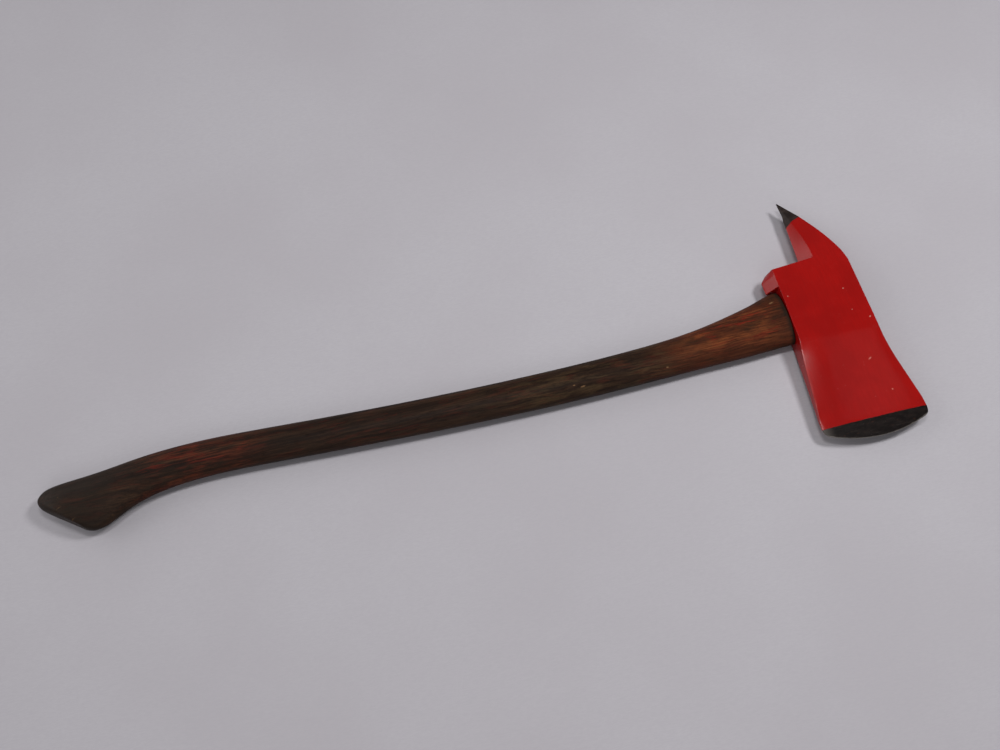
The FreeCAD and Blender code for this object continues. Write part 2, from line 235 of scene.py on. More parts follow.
# %% Pull out the blade
BLADE = [  # y, handle side, crown side, half thickness at the sides, extra in the middle, roll-off
    (-41.0, -47.9, 43.8, 13.3, 0.8, 1.0),
    (-55.7, -50.0, 45.1, 10.4, 1.8, 1.7),
    (-77.4, -52.0, 48.4, 7.9, 1.9, 1.1),
    (-108.4, -55.0, 55.4, 5.0, 1.6, 0.3),
    (-138.5, -56.5, 58.6, 3.5, 0.0, 0.0),
    (-158.5, -58.3, 61.7, 0.3, 0.0, 0.0),
]
ROLL = [(0, 1.0), (0.04, 0.84), (0.15, 0.16)]     # the roll-off's share at the columns near the handle


def fuller(share, belly):
    """How much a cheek swells at a share of the way across it. It falls off late at the crown."""
    power = 4 if share < 0.5 else 12
    return belly * (1 - (2 * share - 1) ** power)


select(lambda x, y, z: near(y, BLOCK_LOW))
last = BLOCK_LOW
for y, low, high, half, belly, roll in BLADE:
    extrude(y=y - last)
    fit(X, low, high)
    fit(Z, -half, half)
    last = y
for row_y, low, high, half, belly, roll in BLADE[:-2]:
    for share in COLUMNS[1:-1]:
        place = column(share, low, high)
        select(lambda x, y, z: near(y, row_y) and near(x, place))
        fit(Z, -half - fuller(share, belly), half + fuller(share, belly))
    for share, part in ROLL:
        place = column(share, low, high)
        for side in (1, -1):
            select(lambda x, y, z: near(y, row_y) and near(x, place) and z * side > 1)
            bpy.ops.transform.translate(value=(0, 0, -side * part * roll * MM))
print("blade rows:", len(BLADE))

# %% [markdown]
# The cutting edge is an arc. The last two rows are still straight, so each of their columns
# slides back until it lies on its circle. The two end corners are pulled in a little more,
# because the toe and the heel of a used axe are never sharp points.

# %% Curve the cutting edge
ARC_X, ARC_Y = 3.0, -23.5
EDGE_RADIUS, GRIND_RADIUS = 135.0, 115.0
CORNER_RISE = 6.0            # how far the two end corners of the edge are pulled in
GRIND_ROW, EDGE_ROW = BLADE[-2], BLADE[-1]
BELOW_GRIND = -140.0


def slide_to_arc(row, radius, ends=0.0):
    """Slide a row of corners along Y onto a circle, and its two ends a little further in."""
    row_y, low, high = row[:3]
    for share in COLUMNS:
        place = column(share, low, high)
        select(lambda x, y, z: near(x, place) and near(y, row_y))
        arc_y = ARC_Y - math.sqrt(radius ** 2 - (place - ARC_X) ** 2)
        move = arc_y - row_y + (ends if share in (0, 1) else 0)
        bpy.ops.transform.translate(value=(0, move * MM, 0))


slide_to_arc(GRIND_ROW, GRIND_RADIUS)
slide_to_arc(EDGE_ROW, EDGE_RADIUS, ends=CORNER_RISE)
for share, along in ((0.04, -2.4), (0.96, 2.6)):
    place = column(share, EDGE_ROW[1], EDGE_ROW[2])
    select(lambda x, y, z: near(x, place) and y < BELOW_GRIND)
    bpy.ops.transform.translate(value=(along * MM, 0, 0))
select(lambda x, y, z: y < BELOW_GRIND)
print("edge row runs from y", span(Y))

# %% [markdown]
# The shoulder is the solid metal above the eye. Its top slopes, and a ridge stands out of it
# towards the handle in the middle plane, left where the two forging dies met. The pick leaves
# the shoulder at its far end, so only the last columns of the end face go on upwards.

# %% Pull out the shoulder
CORNER = (-44.6, 57.0)       # top of the shoulder at the handle side
ROOT = (7.0, 61.3)           # where the pick leaves the shoulder
ROOT_SHARE = 0.6             # the column that ends there
SHOULDER_FAR = 41.8          # the crown side at that height
LEVEL_FROM = 20.0            # from here to the crown the top is level
TIP_Y, TIP_HALF = 147.3, 0.5
slope = (ROOT[1] - CORNER[1]) / (ROOT[0] - CORNER[0])


def taper(y):
    """Half the thickness above the flat cheeks."""
    return HALF + (y - BLOCK_HIGH) / (TIP_Y - BLOCK_HIGH) * (TIP_HALF - HALF)


def shoulder_x(share):
    """Where a column ends on top of the shoulder."""
    if share <= ROOT_SHARE:
        return CORNER[0] + share / ROOT_SHARE * (ROOT[0] - CORNER[0])
    return ROOT[0] + (share - ROOT_SHARE) / (1 - ROOT_SHARE) * (SHOULDER_FAR - ROOT[0])


select(lambda x, y, z: near(y, BLOCK_HIGH))
extrude(y=TIP_Y)
for share in COLUMNS:
    select(lambda x, y, z: y > TIP_Y and near(x, column(share)))
    place = shoulder_x(share)
    top = CORNER[1] + slope * (min(place, LEVEL_FROM) - CORNER[0])
    fit(Y, top, top)
    fit(Z, -taper(top), taper(top))
    fit(X, place, place)
print("the shoulder rises", round(slope, 3), "for each millimetre towards the crown")

# %% [markdown]
# The ridge only stands out over the upper half of the side that faces the handle, so that the
# handle's swell has room beside it. Its corners in the middle plane are drawn out, and the
# corners of the cheeks lean back a little towards the top, as the side of the shoulder does.

# %% Draw the ridge out
KEEL_X, KEEL_TOP_X = -57.6, -50.0
KEEL_ROWS = (33.7, 40, 47.5, BLOCK_HIGH)
select(lambda x, y, z: near(z, 0) and near(x, CORNER[0]) and near(y, CORNER[1]))
fit(X, KEEL_TOP_X, KEEL_TOP_X)
for row_y in KEEL_ROWS:
    select(lambda x, y, z: near(z, 0) and near(x, NEAR) and near(y, row_y))
    fit(X, KEEL_X, KEEL_X)
for row_y in (10, 33.1) + KEEL_ROWS:
    lean = (row_y - BLOCK_LOW) / (CORNER[1] - BLOCK_LOW) * (CORNER[0] - NEAR)
    select(lambda x, y, z: near(y, row_y) and near(x, NEAR))
    bpy.ops.transform.translate(value=(lean * MM, 0, 0))
print("the ridge stands out", round(NEAR - KEEL_X, 1), "mm")

# %% [markdown]
# The pick: seen along its length it is a flattened hexagon. Its two cheeks are the cheeks of
# the head, and under them two facets meet in a ridge that faces the handle.

# %% Pull out the pick
PICK = [  # y, crown side, edge of the cheeks, ridge below the cheeks
    (67.7, 40.3, 7.6, 14.0),
    (84.4, 34.9, 8.0, 13.4),
    (104.0, 25.7, 5.6, 9.8),
    (121.7, 15.7, 2.4, 6.0),
    (136.0, 5.6, -0.6, 2.6),
    (TIP_Y, -1.8, -2.6, 0.6),
]
ROOT_RIDGE, CROWN_RIDGE = 14.0, 1.2

for share in COLUMNS[1:COLUMNS.index(ROOT_SHARE) + 1]:
    back = ROOT_RIDGE * share / ROOT_SHARE
    select(lambda x, y, z: near(z, 0) and y > CORNER[1] - 0.5 and near(x, shoulder_x(share)))
    bpy.ops.transform.translate(value=(-back * MM, -back * slope * MM, 0))

select_faces(lambda centre, normal: normal.y > 0.8 and centre.y > CORNER[1] - 1 and centre.x > 2)
last = ROOT[1]
for row_y, crown, under, ridge in PICK:
    extrude(y=row_y - last)
    fit(Y, row_y, row_y)
    fit(Z, -taper(row_y), taper(row_y))
    select(lambda x, y, z: near(y, row_y) and not near(z, 0, 0.02))
    fit(X, under, crown)
    select(lambda x, y, z: near(y, row_y) and near(z, 0, 0.02))
    fit(X, under - ridge, crown + CROWN_RIDGE * (taper(row_y) - TIP_HALF) / (HALF - TIP_HALF))
    select(lambda x, y, z: near(y, row_y))
    last = row_y
stop_editing()
report(head)

# %% [markdown]
# The cage is complete. Its thick edges are beveled, because a forged edge is always round. At
# the cutting edge, the tip and the lower end of the ridge there is no room for a bevel, so
# those edges are creased instead. Then three levels of subdivision make the surface smooth.

# %% Soften the edges and subdivide
EDGE_SOFT = 1.1
SHARP_ANGLE = 30.0
THIN_BELOW, THIN_ABOVE = -125.0, 125.0


def select_sharp(rule):
    """Select the sharp edges whose middle the rule accepts, and count them."""
    bpy.ops.mesh.select_mode(type="EDGE")
    bpy.ops.mesh.select_all(action="DESELECT")
    bpy.ops.mesh.edges_select_sharp(sharpness=math.radians(SHARP_ANGLE))
    mesh = bmesh.from_edit_mesh(bpy.context.edit_object.data)
    for edge in mesh.edges:
        if edge.select:
            middle = (edge.verts[0].co + edge.verts[1].co) / 2 / MM
            edge.select_set(bool(rule(*middle)))
    bmesh.update_edit_mesh(bpy.context.edit_object.data)
    return sum(edge.select for edge in mesh.edges)


def is_thin(x, y, z):
    """Whether a place lies at the cutting edge, near the tip or on the lower end of the ridge."""
    return y < THIN_BELOW or y > THIN_ABOVE or (x < NEAR + 0.8 and 32.5 < y < 34.3)


def is_upright(x, y, z):
    """Whether a place is the middle of an edge that runs through the middle plane."""
    return abs(z) < 0.27


start_editing(head)
print("thin edges:", select_sharp(lambda *place: is_thin(*place) and not is_upright(*place)))
bpy.ops.transform.edge_crease(value=0.9)
print("edges to soften:", select_sharp(lambda *place: not is_thin(*place)))
bpy.ops.mesh.bevel(offset=EDGE_SOFT * MM, segments=2, profile=0.5, clamp_overlap=True)
stop_editing()
apply(head, "SUBSURF", levels=3, render_levels=3)
bpy.ops.object.shade_smooth()
report(head)

# %% [markdown]
# The eye is a slightly tapered oval hole, wider at the crown so that the wedged handle cannot
# slip out. A cylinder squeezed to that oval is subtracted from the head. Its two ends flare a
# little outside the metal, which breaks the sharp rim of the hole in the same stroke.

# %% Cut the eye
EYE_LONG, EYE_WIDE, EYE_FLARE = 30.0, 9.2, 1.3
EYE_RIM_ANGLE = 28.0         # degrees: sharper corners than this stay sharp in the light


def eye_half(x):
    """Half the length and half the width of the eye at a place along the handle's axis."""
    flare = EYE_FLARE * (x - NEAR) / (FAR - NEAR)
    return EYE_LONG + flare, EYE_WIDE + flare


def oval_ring(x, long_half, wide_half):
    """Put the selected ring at a place along X and give it an oval's size."""
    fit(X, x, x)
    fit(Y, -long_half, long_half)
    fit(Z, -wide_half, wide_half)


def oval_start(name, corners, x, long_half, wide_half):
    """A ring of corners across the handle's axis, left selected in edit mode."""
    bpy.ops.object.select_all(action="DESELECT")
    bpy.ops.mesh.primitive_circle_add(vertices=corners, radius=MM, rotation=(0, math.pi / 2, 0))
    thing = bpy.context.object
    thing.name = thing.data.name = name
    bpy.ops.object.transform_apply(location=True, rotation=True, scale=True)
    start_editing(thing)
    bpy.ops.mesh.select_all(action="SELECT")
    oval_ring(x, long_half, wide_half)
    return thing


def close_ring():
    """Put one face on the selected ring."""
    bpy.ops.mesh.edge_face_add()


RIM = 0.6                    # how much of the hole's rim is broken
PAST = 6.0                   # how far the cutter reaches past the head, and flares there
EYE_PLACES = [  # place along X, and how much wider than the eye
    (NEAR - PAST, RIM + PAST), (NEAR, RIM), (NEAR + RIM, 0),
    (FAR - RIM, 0), (FAR, RIM), (FAR + PAST, RIM + PAST),
]
first_x, first_more = EYE_PLACES[0]
long_half, wide_half = eye_half(first_x)
eye = oval_start("eye_cutter", 96, first_x, long_half + first_more, wide_half + first_more)
close_ring()
for x, more in EYE_PLACES[1:]:
    long_half, wide_half = eye_half(x)
    extrude(x=1)
    oval_ring(x, long_half + more, wide_half + more)
bpy.ops.mesh.select_all(action="SELECT")
bpy.ops.mesh.normals_make_consistent(inside=False)
stop_editing()
apply(head, "BOOLEAN", operation="DIFFERENCE", solver="EXACT", object=eye)
bpy.data.objects.remove(eye)
bpy.context.view_layer.objects.active = head
head.select_set(True)
bpy.ops.object.shade_smooth_by_angle(angle=math.radians(EYE_RIM_ANGLE))
report(head)

# %% [markdown]
# ## The handle
# The handle is split hickory, oval in section, with a swell behind the head, a slim waist and a
# fawn-foot grip. One ring of corners is drawn at the swell and extruded along the handle, and
# each new ring is squeezed to its section. Towards the grip the rings lean, until the last one
# lies along the slanting end where the wood was sawn off. Subdivision then rounds everything
# the way a spokeshave and years of hands do. A subdivided ring shrinks a little inside its
# corners, so every ring is drawn larger by that share.

# %% Draw the handle's rings
RING = 24
SHRINK = (2 + math.cos(2 * math.pi / RING)) / 3
WOOD_HALF = 14.0
HANDLE = [  # upper point x, y, and lower point x, y
    ((-49.5, 32.9), (-49.5, -32.9)),
    ((-61.3, 31.2), (-61.3, -33.3)),
    ((-80.0, 24.2), (-80.0, -34.2)),
    ((-104.3, 18.5), (-104.3, -35.5)),
    ((-148.3, 8.8), (-148.3, -35.6)),
    ((-207.3, 2.9), (-207.3, -37.5)),
    ((-325.3, 0.1), (-325.3, -39.9)),
    ((-482.4, 2.7), (-482.4, -35.9)),
    ((-613.9, 9.7), (-613.9, -29.3)),
    ((-690.5, 14.3), (-690.5, -25.5)),
    ((-748.5, 12.2), (-747.5, -30.6)),
    ((-779.0, 8.2), (-776.0, -40.2)),
    ((-804.0, 4.6), (-793.0, -49.8)),
    ((-826.0, 2.6), (-803.0, -55.4)),
    ((-848.5, 1.0), (-811.0, -57.4)),
    ((-865.0, -2.0), (-816.5, -58.0)),
    ((-872.0, -10.5), (-821.5, -56.6)),
]


LEAN_START = 0.05            # a first small turn of an upright ring, so that it can be stretched along X


def lean_ring(upper, lower, half):
    """Squeeze and lean the selected ring so that it reaches between two points of the outline."""
    low_x, high_x = span(X)
    if upper[0] != lower[0] and high_x - low_x < 0.01:
        bpy.ops.transform.rotate(value=LEAN_START, orient_axis="Z", center_override=(low_x * MM, 0, 0))
        low_x, high_x = span(X)
        mesh = bmesh.from_edit_mesh(bpy.context.edit_object.data)
        top = max((corner for corner in mesh.verts if corner.select), key=lambda corner: corner.co.y)
        if top.co.x / MM > (low_x + high_x) / 2:
            bpy.ops.transform.rotate(
                value=-2 * LEAN_START, orient_axis="Z", center_override=(low_x * MM, 0, 0))
    more = (1 / SHRINK - 1) / 2
    wide = more * (upper[1] - lower[1])
    across = more * abs(upper[0] - lower[0])
    fit(X, min(upper[0], lower[0]) - across, max(upper[0], lower[0]) + across)
    fit(Y, lower[1] - wide, upper[1] + wide)
    fit(Z, -half / SHRINK, half / SHRINK)


handle = oval_start("fire_axe_handle", RING, -49.5, 32.9, WOOD_HALF)
for upper, lower in HANDLE:
    if (upper, lower) != HANDLE[0]:
        extrude(x=-1)
    lean_ring(upper, lower, WOOD_HALF)
print("rings drawn:", len(HANDLE))

# %% [markdown]
# The slanting end was cut with a saw and its rim was rubbed round. Three more rings, each
# thinner and shorter, run over that rim and onto the flat, and one face closes it.

# %% Close the sawn end
FOOT = [  # the rings that run over the rim and onto the sawn face, and half their thickness
    ((-872.0, -15.0), (-825.0, -55.0), 12.4),
    ((-870.0, -20.5), (-829.0, -51.0), 9.5),
    ((-863.5, -27.0), (-836.5, -45.5), 4.5),
]
for upper, lower, half in FOOT:
    extrude(x=-0.5)
    lean_ring(upper, lower, half)
close_ring()

# %% [markdown]
# At the other end the swell stops just short of the head and a tenon goes on into the eye. It
# stands a little proud of the crown, where the wedges that spread it are driven in flush.

# %% Pull out the tenon
TENON_END = 45.0
WOOD_GAP = 0.1
TENON = [  # place along X, half length and half width: the end of the swell, then the tenon
    (-47.9, 32.6, 13.7), (-47.35, 31.6, 12.7), (-47.3, 31.0, 10.4), (-47.2, 29.95, 9.15),
    (-46.4, 29.9, 9.1), (0.0, 30.6, 9.78), (43.8, 31.2, 10.4), (44.6, 31.1, 10.3),
    (TENON_END, 30.6, 9.8),
]
select(lambda x, y, z: near(x, -49.5))
for x, long_half, wide_half in TENON:
    extrude(x=1)
    oval_ring(x, long_half / SHRINK, wide_half / SHRINK)
close_ring()
bpy.ops.mesh.select_all(action="SELECT")
bpy.ops.mesh.normals_make_consistent(inside=False)
stop_editing()
apply(handle, "SUBSURF", levels=3, render_levels=3)
report(handle)

# %% [markdown]
# The end of the tenon was sawn down its middle before the head went on, and a wooden wedge
# driven into that kerf spreads it. Two steel wedges cross it. The wedges are pieces of their
# own, so the handle only needs their slots: blocks thinned towards their inner ends are
# subtracted from it, each a hair larger than its wedge.

# %% Cut the slots for the wedges
SLOTS = [  # inner end, place across, reach, half thickness outside and inside, and its axis
    (-10.1, 0.0, 40.0, 3.0, 0.8, Z),
    (16.9, 14.0, 7.0, 1.6, 0.4, Y),
    (16.9, -14.0, 7.0, 1.6, 0.4, Y),
]
BEYOND = 46.5                # a little past the end of the tenon
SLOT_ANGLE = 35.0
for inner, place, reach, outside, inside, thin in SLOTS:
    outside, inside, reach = outside + WOOD_GAP, inside + WOOD_GAP, reach + WOOD_GAP
    if thin == Z:
        slot = slab("slot", (inner, -reach, -outside), (BEYOND, reach, outside))
    else:
        slot = slab("slot", (inner, place - outside, -reach), (BEYOND, place + outside, reach))
    select(lambda x, y, z: near(x, inner))
    fit(thin, place - inside, place + inside)
    stop_editing()
    apply(handle, "BOOLEAN", operation="DIFFERENCE", solver="EXACT", object=slot)
    bpy.data.objects.remove(slot)
bpy.ops.object.select_all(action="DESELECT")
handle.select_set(True)
bpy.context.view_layer.objects.active = handle
bpy.ops.object.shade_smooth_by_angle(angle=math.radians(SLOT_ANGLE))
report(handle)

# %% [markdown]
# Both pieces were drawn about the middle plane. They are lifted so that the lower cheek of the
# head rests on the ground, and they take the place of the plain solids of the frame.

# %% Lift the pieces into place
for piece, node, slot in ((head, "axe_head", "head_enamel"), (handle, "handle", "hickory")):
    piece.data.transform(Matrix.Translation((0, 0, MIDDLE)))
    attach(piece, "root")
    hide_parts(node)
    print(piece.name, "replaces", node)

# %% [markdown]
# ## Finishes
# A finish is a graph of nodes. Written as Python it reads like a sum, if one small class holds
# a node's output and knows how to add and multiply: every operator adds one Math node. Any
# other node comes from the method `node`, which sets its choices first and then its inputs.

# %% A class for writing shaders as sums
class Wire:
    """An output in a material's graph. Sums with wires and numbers add Math nodes."""

    def __init__(self, tree, made, output=0):
        self.tree, self.made, self.socket = tree, made, made.outputs[output]

    def out(self, output):
        return Wire(self.tree, self.made, output)

    def node(self, kind, settings=None, inputs=None, output=0):
        made = self.tree.nodes.new("ShaderNode" + kind)
        for name, setting in (settings or {}).items():
            if name == "stops":
                lay_stops(made.color_ramp.elements, setting)
            else:
                setattr(made, name, setting)
        for name, given in (inputs or {}).items():
            if isinstance(given, Wire):
                self.tree.links.new(given.socket, made.inputs[name])
            else:
                made.inputs[name].default_value = given
        return Wire(self.tree, made, output)

    def math(self, operation, *values):
        return self.node("Math", {"operation": operation}, dict(enumerate(values)))

    def __add__(self, other):
        return self.math("ADD", self, other)

    def __sub__(self, other):
        return self.math("SUBTRACT", self, other)

    def __rsub__(self, other):
        return self.math("SUBTRACT", other, self)

    def __mul__(self, other):
        return self.math("MULTIPLY", self, other)

    def __abs__(self):
        return self.math("ABSOLUTE", self)

    __radd__, __rmul__ = __add__, __mul__


def lay_stops(elements, stops):
    """Put a ramp's colours in place. A ramp starts with two stops, so those are used first."""
    while len(elements) < len(stops):
        elements.new(0.5)
    for element, (place, colour) in zip(elements, stops):
        element.position = place
        element.color = colour


print("shader class ready")

# %% [markdown]
# Colours are easiest to compare as the 0 to 255 numbers of a paint chart, but light is summed
# in linear values, so `paint` converts them. Noise is described by the size of its spots in
# millimetres, along and across, because that is what one can measure on a real surface.

# %% Words for describing a surface
UPPER_FROM = 14.0            # height above which a surface counts as the upper side


def paint(red, green, blue):
    """A paint-chart colour as linear light."""
    parts = [part / 255 for part in (red, green, blue)]
    return tuple(p / 12.92 if p < 0.04045 else ((p + 0.055) / 1.055) ** 2.4 for p in parts) + (1.0,)


def finish(name, **fixed):
    """A new material. Returns it, its shader node and the place on the piece in millimetres."""
    material = bpy.data.materials.new(name)
    material.use_nodes = True
    tree = material.node_tree
    shader = tree.nodes["Principled BSDF"]
    for socket, setting in fixed.items():
        shader.inputs[socket.replace("_", " ")].default_value = setting
    coordinates = Wire(tree, tree.nodes.new("ShaderNodeTexCoord"), "Object")
    place = coordinates.node("VectorMath", {"operation": "SCALE"}, {0: coordinates, "Scale": 1000.0})
    return material, shader, place


def wire_up(shader, place, **wires):
    for socket, wire in wires.items():
        place.tree.links.new(wire.socket, shader.inputs[socket.replace("_", " ")])


def wear(piece, material):
    """Give a piece one material in place of any that it has."""
    piece.data.materials.clear()
    piece.data.materials.append(material)
    print(piece.name, "wears", material.name, "with", len(material.node_tree.nodes), "nodes")


def spots(place, size, detail=3.0, rough=0.5, stir=0.0, seed=0.0):
    """Noise whose spots have the given sizes along X, Y and Z, in millimetres."""
    scaled = place.node("Mapping", {}, {
        "Vector": place, "Scale": [1 / part for part in size], "Location": (seed, seed * 0.7, seed * 1.3)})
    return scaled.node("TexNoise", {}, {
        "Vector": scaled, "Scale": 1.0, "Detail": detail, "Roughness": rough, "Distortion": stir})


def ramp(value, low, high):
    """Nothing below low, all above high, smooth between. Low may be the larger number."""
    return value.node("MapRange", {"interpolation_type": "SMOOTHSTEP"}, {
        "Value": value, "From Min": low, "From Max": high})


def blend(share, first, second):
    """The first colour where share is 0, the second where it is 1."""
    return share.node("Mix", {"data_type": "RGBA"}, {0: share, 6: first, 7: second}, output=2)


def axes(place):
    """The three parts of a place, each a number in millimetres."""
    parts = place.node("SeparateXYZ", {}, {0: place})
    return parts.out(0), parts.out(1), parts.out(2)


def bump(height, distance, strength=1.0, under=None):
    """Turn a height between 0 and 1 into a slope. Distance is its depth in millimetres."""
    inputs = {"Height": height, "Distance": distance * MM, "Strength": strength}
    if under:
        inputs["Normal"] = under
    return height.node("Bump", {}, inputs)


def mark(place, centre, size, turn=0.0):
    """A small ragged oval on the upper side: 1 inside it and 0 outside."""
    ragged = spots(place, (1.5, 1.5, 1.5), detail=2)
    local = place.node("Mapping", {"vector_type": "TEXTURE"}, {
        "Vector": place, "Location": (*centre, 0), "Rotation": (0, 0, math.radians(turn)),
        "Scale": (*size, 1e6)})
    distance = local.node("VectorMath", {"operation": "LENGTH"}, {0: local}, output="Value")
    return ramp(distance + ragged * 1.4, 1.9, 1.2)


def marks(place, table):
    """All the marks of a table of places, sizes and turns together."""
    found = None
    for centre, size, turn in table:
        one = mark(place, centre, size, turn)
        found = found.math("MAXIMUM", found, one) if found else one
    return found


print("words ready")

# %% [markdown]
# ### Red enamel over forged steel
# The head was brushed with one thick coat of red enamel, except for the bit and the tip of the
# pick, which were ground bare afterwards. One shader carries both paint and steel, and masks by
# place decide which of the two shows. The border of each mask is roughened by noise, because a
# grinding wheel never leaves a perfectly straight edge in paint.

# %% Where the head is bare
PAINT_ENDS_Y, PAINT_FADE = -136.4, 0.6           # the straight border above the bit
TIP_START, TIP_FADE = 114.6, 0.9                 # the border at the tip, in millimetres up its slant
TIP_SLANT, TIP_FOLD = 0.43, 0.45
enamel, shader, place = finish("red_enamel", Specular_IOR_Level=0.3, Coat_Roughness=0.15)
x, y, z = axes(place)
ragged = spots(place, (5, 5, 5), detail=4, rough=0.6)
fine_rag = spots(place, (0.8, 0.8, 0.8), detail=2)

bare_bit = ramp(y + ragged * 1.3 + fine_rag * 0.3, PAINT_ENDS_Y, PAINT_ENDS_Y - PAINT_FADE)
pick_line = y - TIP_SLANT * x - abs(z - MIDDLE / MM) * TIP_FOLD + ragged * 2.6 + fine_rag * 0.6
bare_tip = ramp(pick_line, TIP_START, TIP_START + TIP_FADE)
bare = bare_bit.math("MAXIMUM", bare_bit, bare_tip)
print("the paint ends at y", PAINT_ENDS_Y, "and", TIP_START, "up the pick")

# %% [markdown]
# Knocks have chipped the paint down to a pale primer. The clear chips on the upper cheek have
# their own places. A few smaller ones are scattered: each cell of a Voronoi texture has a dot at
# its centre, and only the cells with a high random value keep it.

# %% Chips in the paint
CHIPS = [  # place, half sizes and turn
    ((22.9, 13.4), (0.9, 0.8), 0), ((38.1, -27.4), (1.1, 0.8), 40), ((19.7, -73.9), (2.0, 0.8), 35),
    ((30.8, -112.6), (0.9, 0.8), 0), ((-40.2, 19.0), (0.9, 0.7), 0), ((22.3, -14.2), (0.6, 0.5), 0),
]
CHIP_SPACING = 19.0
chipped = marks(place, CHIPS) * ramp(z, UPPER_FROM, UPPER_FROM + 4.0) * 0.65
cells = place.node("TexVoronoi", {"feature": "F1"}, {"Vector": place, "Scale": 1 / CHIP_SPACING})
lucky = ramp(axes(cells.out("Color"))[0], 0.8, 0.82)
small_chips = ramp(cells + fine_rag * 0.03, 0.052, 0.034) * lucky
chipped = chipped.math("MAXIMUM", chipped, small_chips * 0.45)
print("placed chips:", len(CHIPS))

# %% [markdown]
# The paint is not one red. It varies slowly in depth, carries the long marks of the brush, and
# has a little dust and a few dull scuffs on top.

# %% The reds
slow = spots(place, (45, 45, 45), detail=2)
brushed = spots(place, (2.2, 26, 2.2), detail=3, rough=0.6)
scuffs = ramp(spots(place, (1.1, 22, 6), detail=4, rough=0.7, seed=4.0), 0.66, 0.8)
dust = ramp(spots(place, (9, 9, 9), detail=5, rough=0.75, seed=9.0), 0.5, 0.78)
red = blend(ramp(slow, 0.35, 0.65), paint(146, 10, 7), paint(157, 12, 8))
red = blend(ramp(brushed, 0.3, 0.7) * 0.35, red, paint(134, 9, 6))
red = blend(dust * 0.02, red, paint(190, 90, 80))
red = blend(scuffs * 0.08, red, paint(196, 84, 74))
red = blend(chipped, red, paint(206, 156, 140))
print("reds mixed, nodes so far:", len(enamel.node_tree.nodes))

# %% [markdown]
# The bare steel is dark from oil and old rust. Sharpening leaves fine lines along the edge,
# work leaves nicks, and the last millimetre of the edge is honed bright. Distance from the
# centre of the edge's circle finds that last millimetre all the way round.

# %% The bare steel
bevel_marks = ramp(spots(place, (22, 0.9, 3), detail=5, rough=0.75, stir=1.2), 0.55, 0.75)
nick_marks = ramp(spots(place, (2.6, 1.0, 2), detail=4, rough=0.75, stir=0.8, seed=3.0), 0.64, 0.74)
blotch = ramp(spots(place, (9, 5, 5), detail=5, rough=0.65, seed=2.0), 0.4, 0.7)
rusty = ramp(spots(place, (5, 3, 3), detail=4, rough=0.7, seed=7.0), 0.58, 0.72)
heel = ramp(x, -44.0, -57.0) * bare_bit
from_arc = place.node("VectorMath", {"operation": "DISTANCE"}, {
    0: place.node("VectorMath", {"operation": "MULTIPLY"}, {0: place, 1: (1, 1, 0)}),
    1: (ARC_X, ARC_Y, 0)}, output="Value")
honed = ramp(from_arc + ragged * 1.6, EDGE_RADIUS - 0.6, EDGE_RADIUS + 0.3) * bare_bit
steel = blend(blotch, paint(19, 13, 12), paint(33, 26, 24))
steel = blend(bevel_marks * 0.3, steel, paint(120, 110, 102))
steel = blend(nick_marks * 0.55, steel, paint(160, 150, 140))
steel = blend(rusty * 0.4, steel, paint(80, 48, 34))
steel = blend(heel * 0.2, steel, paint(150, 140, 132))
steel = blend(bare_tip * 0.6, steel, blend(blotch, paint(48, 39, 37), paint(70, 58, 54)))
steel = blend(honed * 0.4, steel, paint(150, 144, 138))
print("steel mixed, nodes so far:", len(enamel.node_tree.nodes))

# %% [markdown]
# Paint has a thickness, so bumps make it stand above the chips and the bare steel. Under a lamp
# the paint also shows a fine pebbling and its brush marks. Paint is glossy, steel is duller.

# %% Put paint and steel together
pebble = spots(place, (1.6, 1.6, 1.6), detail=3, rough=0.55, seed=1.0)
step_down = (1.0 - bare) * (1.0 - chipped * 0.7)
steel_relief = (bevel_marks + nick_marks) * bare * -0.12 + blotch * bare * 0.1
slope = bump(pebble, 0.035)
slope = bump(brushed + scuffs * 0.4, 0.03, under=slope)
slope = bump(step_down + steel_relief, 0.16, under=slope)
worn = scuffs * 0.12 + dust * 0.05 + chipped * 0.25
wire_up(shader, place,
        Base_Color=blend(bare, red, steel), Normal=slope,
        Roughness=(1.0 - bare) * (0.24 + worn) + bare * (0.45 + blotch * 0.2),
        Metallic=bare * 0.25, Coat_Weight=(1.0 - bare) * (0.1 - chipped * 0.1))
wear(head, enamel)

# %% [markdown]
# ### Worn hickory
# Hickory is pale when new. This handle has gone nearly black with oil and soot. Long streaks of
# summer and winter wood run its whole length, and short open pores break them up. All of that is
# noise drawn out along the handle, at a place that a slow swirl has bent a little, because grain
# is never quite straight.

# %% The grain
hickory, shader, place = finish("worn_hickory", Specular_IOR_Level=0.1, Coat_Roughness=0.35)
x, y, z = axes(place)
swirl = spots(place, (80, 24, 24), detail=3)
bent = place.node("VectorMath", {"operation": "ADD"}, {0: place, 1: place.node(
    "CombineXYZ", {}, {"Y": swirl * 9.0, "Z": swirl * 5.0})})
rings = spots(bent, (330, 6.5, 6.5), detail=3, rough=0.6)
streaks = spots(bent, (70, 1.5, 1.5), detail=5, rough=0.68, seed=2.0)
fibres = spots(bent, (24, 0.5, 0.5), detail=3, rough=0.7, seed=5.0)
pores = ramp(spots(bent, (9, 0.55, 0.55), detail=2, seed=7.0), 0.6, 0.7)
patches = spots(place, (55, 16, 16), detail=4, rough=0.6, seed=3.0)
tone = rings * 0.45 + streaks * 0.4 + fibres * 0.25
wood = tone.node("ValToRGB", {"stops": [
    (0.34, paint(21, 14, 11)), (0.50, paint(34, 23, 17)),
    (0.62, paint(52, 36, 26)), (0.78, paint(82, 58, 40))]}, {"Fac": tone})
print("grain ready, nodes so far:", len(hickory.node_tree.nodes))

